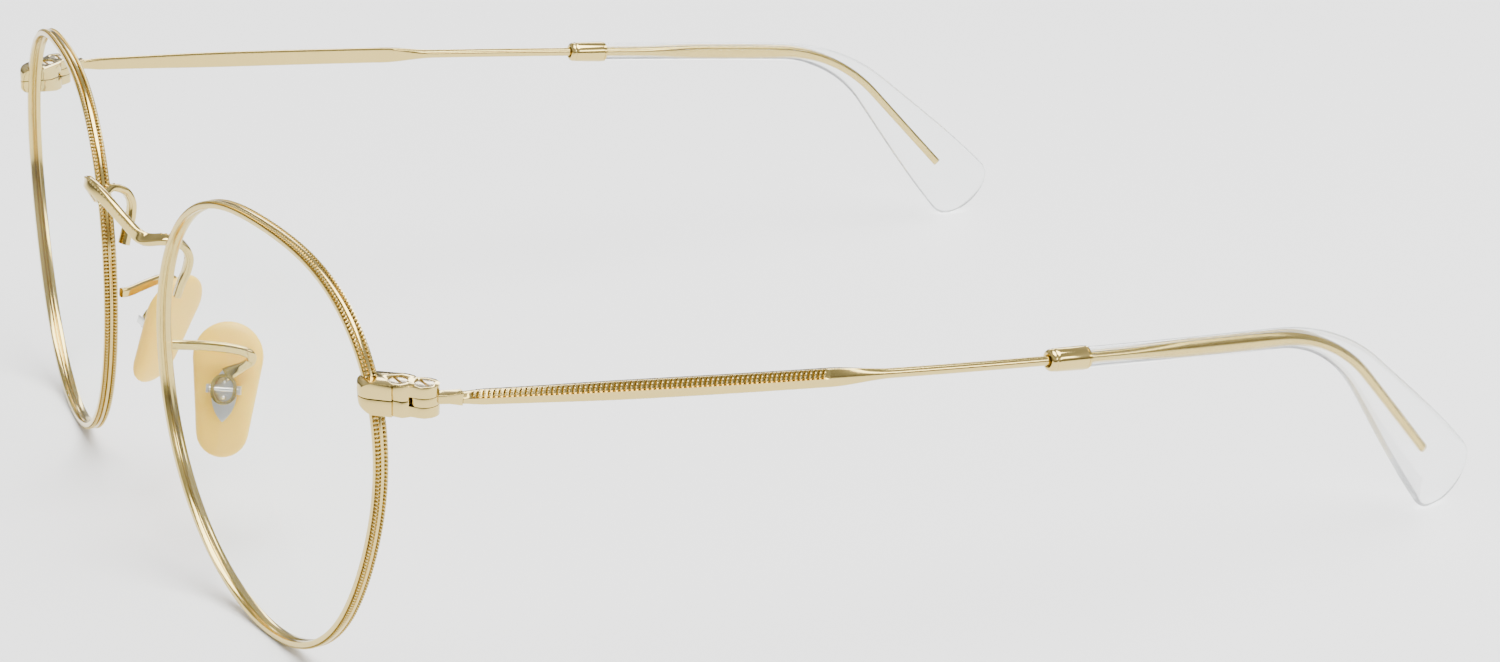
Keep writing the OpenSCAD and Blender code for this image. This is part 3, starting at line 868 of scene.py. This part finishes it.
# The flat arm's section, in shares of its half thickness and half height, up its outer face,
# over the top and down its inner face; the last share is how much of the channel's depth it takes
ARM_OUTLINE = (
    (0.72, -1, 0), (0.94, -0.93, 0), (1, -0.8, 0), (1, -0.45, 0), (1, -0.15, 0), (1, 0.0, 0),
    (0.98, 0.07, 1), (0.85, 0.3, 1), (0.66, 0.6, 1), (0.5, 0.86, 1), (0.44, 0.95, 1), (0.4, 1, 0.6),
    (0.2, 1, 0), (0, 1, 0), (-0.72, 1, 0), (-0.94, 0.93, 0), (-1, 0.8, 0), (-1, 0.3, 0), (-1, -0.3, 0),
    (-1, -0.8, 0), (-0.94, -0.93, 0), (-0.72, -1, 0), (0, -1, 0),
)


def arm_section(line, s):
    """The metal arm's section at length s: flat arm, round wire, then the flattened core"""
    arm = line.arm
    if s < line.COLLAR_END:
        u = ease((s - line.FLAT_END) / (line.TAPER_END - line.FLAT_END))
        wide, high = mix(arm.thick, arm.wire_d, u) / 2, mix(line.flat_height(s), arm.wire_d, u) / 2
        square = 1 - u
    else:
        u = ease((s - line.CORE_FROM) / line.CORE_OVER)
        slim = ease((s - line.SLIM_FROM) / line.SLIM_OVER)
        flat = mix(line.CORE_HIGH, line.CORE_END_HIGH, slim)
        wide, high = mix(arm.wire_d, line.CORE_THICK, u) / 2, mix(arm.wire_d, flat, u) / 2
        square = 0.5 * u
    row = min(s - line.ROW_START, line.ROW_END - s) / line.ROW_FADE
    points = []
    for x, y, sunk in ARM_OUTLINE:
        reach = math.hypot(x, y)
        round_x, round_y = x / reach * wide, y / reach * high
        flat_x = x * wide - sunk * mix(0, arm.channel, row)
        points.append((mix(round_x, flat_x, square), mix(round_y, y * high, square)))
    return points


def make_temple(arm, finish, label, sign):
    """Knuckle, neck, toothed flat arm, round wire and the core inside the tip"""
    line = ArmLine(arm)
    bm = cad_copy("temple_" + label, sign)
    # Only the knuckle and the neck of the CAD solid are kept, up to the start of the flat arm
    at, _side, _up, ahead = line.frame(0.0)
    bmesh.ops.bisect_plane(
        bm, geom=bm.verts[:] + bm.edges[:] + bm.faces[:], plane_co=at, plane_no=ahead, clear_outer=True
    )
    bmesh.ops.holes_fill(bm, edges=[e for e in bm.edges if e.is_boundary], sides=0)
    round_edges(bm, 0.1 * MM)
    # Sections are closest together where the channel begins and ends
    row_in, row_out = line.ROW_START + line.ROW_FADE, line.FLAT_END - 1 * MM
    places = stations(0.0, line.ROW_START, line.ROW_FADE) + stations(row_in, row_out, 1.2 * MM)
    places += stations(row_out + 0.2 * MM, line.FLAT_END, 0.2 * MM)
    places += stations(line.FLAT_END + 0.5 * MM, 100 * MM, 0.75 * MM)
    places += stations(101 * MM, arm.core_end, 0.75 * MM)
    sweep(bm, [line.ring(s, arm_section(line, s)) for s in places])
    body = "temple_" + label + "_arm"
    # Teeth lie back on the sloping upper face, and small dots run below them
    teeth, dots = [], []
    inwards = Matrix.Rotation(math.radians(-20), 3, "Y")
    forwards = Matrix.Rotation(math.radians(-14), 3, "X")
    dot_sink, dot_size = 0.04 * MM, (0.08 * MM, 0.22 * MM, 0.16 * MM)
    for s in stations(line.ROW_START + 0.5 * MM, line.ROW_END - 0.5 * MM, arm.tooth_pitch):
        at, side, up, ahead = line.frame(s)
        basis = Matrix((side, ahead, up)).transposed()
        face, half = arm.thick / 2, line.flat_height(s) / 2
        spot = at + side * (face * 0.7 - arm.channel) + up * half * 0.52
        size = (arm.channel * 2.3, arm.tooth_pitch * 0.62, half * 1.08)
        teeth.append(ball(spot, size, basis @ inwards @ forwards))
        spot = at + side * (face - dot_sink) - up * half * 0.74
        dots.append(ball(spot, dot_size, basis))
    add_balls(bm, teeth, 8, 10)
    add_balls(bm, dots, 4, 6)
    finish_piece(bm, "temple_" + label, sign, body, beaded_gold(finish))


def make_collar(arm, finish, label, sign):
    """A short sleeve with a rounded front lip, a bore round the wire and a ring at its back"""
    line = ArmLine(arm)
    start, end = line.COLLAR_START, line.COLLAR_END
    hole, drawn = arm.wire_d + 0.3 * MM, 5.3 * MM
    bore = [(0.6, hole), (0.12, hole), (0.0, hole + 0.25 * MM)]
    # Length behind the front in mm as drawn, and the share of the collar's diameter
    outside = (
        (0.02, 0.7), (0.15, 0.83), (0.38, 0.91), (0.62, 0.925), (0.7, 0.885), (0.8, 0.93), (1.1, 0.95),
        (4.7, 1), (4.82, 0.985), (4.86, 0.92), (4.94, 0.92), (4.98, 0.96), (5.2, 0.96), (5.28, 0.9),
    )
    profile = bore + [(place, arm.collar_d * share) for place, share in outside]
    bm = bmesh.new()
    scale = (end - start) / drawn
    sweep(bm, [line.ring(start + place * MM * scale, oblong(d, d, 40)) for place, d in profile])
    body = "temple_" + label + "_arm"
    finish_piece(bm, "collar_" + label, sign, body, gold(finish))


def make_tip(arm, finish, label, sign):
    """The clear sleeve, which flattens and widens into a blunt rounded paddle"""
    line = ArmLine(arm)
    end_round, blunt = 3.6 * MM, 2.4
    round_from = line.length - end_round
    thick_from, thick_over = 90 * MM, 15 * MM
    places = stations(line.COLLAR_END + 0.02 * MM, round_from, 1.0 * MM)[:-1]
    for a in range(0, 91, 6):
        places.append(line.length - end_round * (1 - math.sin(math.radians(a)) ** 1.2))
    rings = []
    for s in places:
        # The end closes on a rounded curve, squarer than a circle
        v = max(0.0, (s - round_from) / end_round)
        close = max(0.0001, 1 - v**blunt) ** (1 / blunt)
        along = (s - arm.bend_start) / (line.length - arm.bend_start)
        high = mix(arm.sleeve_d, arm.tip_w, ease(along))
        thick = mix(arm.sleeve_d, arm.tip_t, ease((s - thick_from) / thick_over))
        rings.append(line.ring(s, oblong(thick * mix(1, close, 0.75), high * close, 32, 0.9)))
    bm = bmesh.new()
    sweep(bm, rings)
    body = "temple_" + label + "_arm"
    finish_piece(bm, "tip_" + label, sign, body, clear_acetate(finish), 60)


# ---------- the stage ----------


# The point that the camera looks at, in the front's own space, and the lens shift
LOOK_AT = Vector((9.08, 62.17, -8.22)) * MM
SHIFT = (0.0563, 0.0015)
SENSOR_MM = 36
# The three lamps: place in metres, size, and share of the key light's power
LAMPS = {
    "key": ((0.1, 0.1, 0.9), (0.8, 0.8), 1.0),
    "back_light": ((-0.9, 0.5, 0.45), (0.6, 0.2), 0.15),
    "side_light": ((0.9, 0.5, 0.5), (0.6, 0.2), 0.15),
}
LAMPS_AIM = (0, 0, 0.02)


def make_camera(stage):
    """Azimuth 0 looks from the front, and positive angles go round to the wearer's left"""
    data = bpy.data.cameras.new("camera")
    data.sensor_width = SENSOR_MM
    data.lens = stage.focal
    data.shift_x, data.shift_y = SHIFT
    data.clip_start, data.clip_end = 0.01, 20
    camera = new_object("camera", data)
    a, e = stage.azimuth, stage.elevation
    back = Vector((math.sin(a) * math.cos(e), -math.cos(a) * math.cos(e), math.sin(e)))
    turn = back.to_track_quat("Z", "Y") @ Matrix.Rotation(stage.roll, 4, "Z").to_quaternion()
    camera.rotation_mode = "QUATERNION"
    camera.rotation_quaternion = turn
    camera.location = ORIGIN + LOOK_AT + back * stage.distance
    bpy.context.scene.camera = camera


def make_floor(stage):
    """A wide matt floor at the level of the rims' lowest points"""
    material, tree, shader = new_material("StudioFloor")
    grain = group_node(tree, shared_group("ClearSurface", clear_surface_group), Polish=0.6, Marks=0.1)
    set_inputs(shader, {"Base Color": (*stage.floor, 1), "Specular IOR Level": 0.0})
    link(tree, grain.outputs["Roughness"], shader.inputs["Roughness"])
    bm = bmesh.new()
    bmesh.ops.create_grid(bm, x_segments=4, y_segments=4, size=4)
    floor = new_mesh_object("floor", bm, material)


def make_lamp(name, at, target, size, power):
    """A rectangular area light at one point that faces another"""
    data = bpy.data.lights.new(name, "AREA")
    data.shape = "RECTANGLE"
    data.size, data.size_y = size
    data.energy = power
    lamp = new_object(name, data)
    lamp.location = at
    lamp.rotation_mode = "QUATERNION"
    lamp.rotation_quaternion = (Vector(at) - Vector(target)).to_track_quat("Z", "Y")


def make_world():
    """A studio that is dim near the floor, bright higher up and softer overhead"""
    world = bpy.data.worlds.new("studio")
    bpy.context.scene.world = world
    world.use_nodes = True
    tree = world.node_tree
    background = tree.nodes["Background"]
    coords = add_node(tree, "TexCoord")
    split = add_node(tree, "SeparateXYZ")
    ramp = add_node(tree, "ValToRGB")
    place = add_node(tree, "MapRange")
    place.inputs["From Min"].default_value = -1
    link(tree, coords.outputs["Generated"], split.inputs[0])
    link(tree, split.outputs["Z"], place.inputs["Value"])
    link(tree, place.outputs["Result"], ramp.inputs["Fac"])
    link(tree, ramp.outputs["Color"], background.inputs["Color"])
    # Height from straight down to straight up as 0 to 1, and brightness
    bands = ((0.0, 0.3), (0.5, 0.3), (0.55, 0.25), (0.6, 0.5), (0.7, 0.95), (0.85, 0.6), (1.0, 0.4))
    ramp.color_ramp.elements.remove(ramp.color_ramp.elements[1])
    for i, (at, shade) in enumerate(bands):
        stop = ramp.color_ramp.elements[0] if i == 0 else ramp.color_ramp.elements.new(at)
        stop.position = at
        stop.color = (shade, shade, shade, 1)
    background.inputs["Strength"].default_value = 1.0


# ---------- operators ----------


class EachSide:
    """Shared by the operators that make a piece for each side"""

    bl_options = {"REGISTER", "UNDO"}

    def execute(self, context):
        for label, sign in SIDES:
            self.make(context.scene, label, sign)
        return {"FINISHED"}


class GLASSES_OT_rims(EachSide, bpy.types.Operator):
    """Makes both beaded rims"""

    bl_idname = "glasses.rims"
    bl_label = "Rims"

    def make(self, scene, label, sign):
        make_rim(scene.glasses_front, scene.glasses_finish, label, sign)


class GLASSES_OT_lenses(EachSide, bpy.types.Operator):
    """Makes both clear lenses"""

    bl_idname = "glasses.lenses"
    bl_label = "Lenses"

    def make(self, scene, label, sign):
        make_lens(scene.glasses_front, scene.glasses_finish, label, sign)


class GLASSES_OT_bridge(bpy.types.Operator):
    """Makes the saddle bridge with its curled shanks"""

    bl_idname = "glasses.bridge"
    bl_label = "Bridge"
    bl_options = {"REGISTER", "UNDO"}

    def execute(self, context):
        make_bridge(context.scene.glasses_front, context.scene.glasses_finish)
        return {"FINISHED"}


class GLASSES_OT_endpieces(EachSide, bpy.types.Operator):
    """Makes the split endpieces"""

    bl_idname = "glasses.endpieces"
    bl_label = "Endpieces"

    def make(self, scene, label, sign):
        make_endpieces(scene.glasses_finish, label, sign)


class GLASSES_OT_screws(EachSide, bpy.types.Operator):
    """Makes the rim screws and the hinge screws"""

    bl_idname = "glasses.screws"
    bl_label = "Screws"

    def make(self, scene, label, sign):
        make_screws(label, sign)


class GLASSES_OT_pad_arms(EachSide, bpy.types.Operator):
    """Makes the arms that carry the nose pads"""

    bl_idname = "glasses.pad_arms"
    bl_label = "Pad Arms"

    def make(self, scene, label, sign):
        make_pad_arm(scene.glasses_pad, scene.glasses_finish, label, sign)


class GLASSES_OT_pad_fittings(EachSide, bpy.types.Operator):
    """Makes the pad boxes, clips and inserts"""

    bl_idname = "glasses.pad_fittings"
    bl_label = "Pad Fittings"

    def make(self, scene, label, sign):
        make_pad_fittings(scene.glasses_pad, scene.glasses_finish, label, sign)


class GLASSES_OT_nose_pads(EachSide, bpy.types.Operator):
    """Makes the soft nose pads"""

    bl_idname = "glasses.nose_pads"
    bl_label = "Nose Pads"

    def make(self, scene, label, sign):
        make_nose_pad(scene.glasses_pad, scene.glasses_finish, label, sign)


class GLASSES_OT_temples(EachSide, bpy.types.Operator):
    """Makes the toothed temples with their core wires"""

    bl_idname = "glasses.temples"
    bl_label = "Temples"

    def make(self, scene, label, sign):
        make_temple(scene.glasses_arm, scene.glasses_finish, label, sign)


class GLASSES_OT_collars(EachSide, bpy.types.Operator):
    """Makes the collars in front of the tips"""

    bl_idname = "glasses.collars"
    bl_label = "Collars"

    def make(self, scene, label, sign):
        make_collar(scene.glasses_arm, scene.glasses_finish, label, sign)


class GLASSES_OT_tips(EachSide, bpy.types.Operator):
    """Makes the clear ear tips"""

    bl_idname = "glasses.tips"
    bl_label = "Tips"

    def make(self, scene, label, sign):
        make_tip(scene.glasses_arm, scene.glasses_finish, label, sign)


class GLASSES_OT_stage(bpy.types.Operator):
    """Makes the floor, the lights and the camera"""

    bl_idname = "glasses.stage"
    bl_label = "Stage"
    bl_options = {"REGISTER", "UNDO"}

    def execute(self, context):
        stage = context.scene.glasses_stage
        make_floor(stage)
        make_world()
        for name, (at, size, share) in LAMPS.items():
            make_lamp(name, at, LAMPS_AIM, size, stage.key * share)
        make_camera(stage)
        return {"FINISHED"}


OPERATORS = (
    GLASSES_OT_rims, GLASSES_OT_lenses, GLASSES_OT_bridge, GLASSES_OT_endpieces, GLASSES_OT_screws,
    GLASSES_OT_pad_arms, GLASSES_OT_pad_fittings, GLASSES_OT_nose_pads, GLASSES_OT_temples,
    GLASSES_OT_collars, GLASSES_OT_tips, GLASSES_OT_stage,
)


class GLASSES_PT_panel(bpy.types.Panel):
    """Lists the pieces and their sizes in the sidebar"""

    bl_idname = "GLASSES_PT_panel"
    bl_label = "Round Wire Eyeglasses"
    bl_space_type = "VIEW_3D"
    bl_region_type = "UI"
    bl_category = "Eyeglasses"

    def draw(self, context):
        for operator in OPERATORS:
            self.layout.operator(operator.bl_idname)
        for name, group in GROUPS:
            box = self.layout.box()
            for field in group.__annotations__:
                box.prop(getattr(context.scene, name), field)


def register():
    for name, group in GROUPS:
        bpy.utils.register_class(group)
        setattr(bpy.types.Scene, name, bpy.props.PointerProperty(type=group))
    for operator in OPERATORS:
        bpy.utils.register_class(operator)
    bpy.utils.register_class(GLASSES_PT_panel)


def unregister():
    bpy.utils.unregister_class(GLASSES_PT_panel)
    for operator in reversed(OPERATORS):
        bpy.utils.unregister_class(operator)
    for name, group in reversed(GROUPS):
        delattr(bpy.types.Scene, name)
        bpy.utils.unregister_class(group)


def main():
    register()
    for operator in OPERATORS:
        getattr(bpy.ops.glasses, operator.bl_idname.removeprefix("glasses."))()


if __name__ == "__main__":
    main()
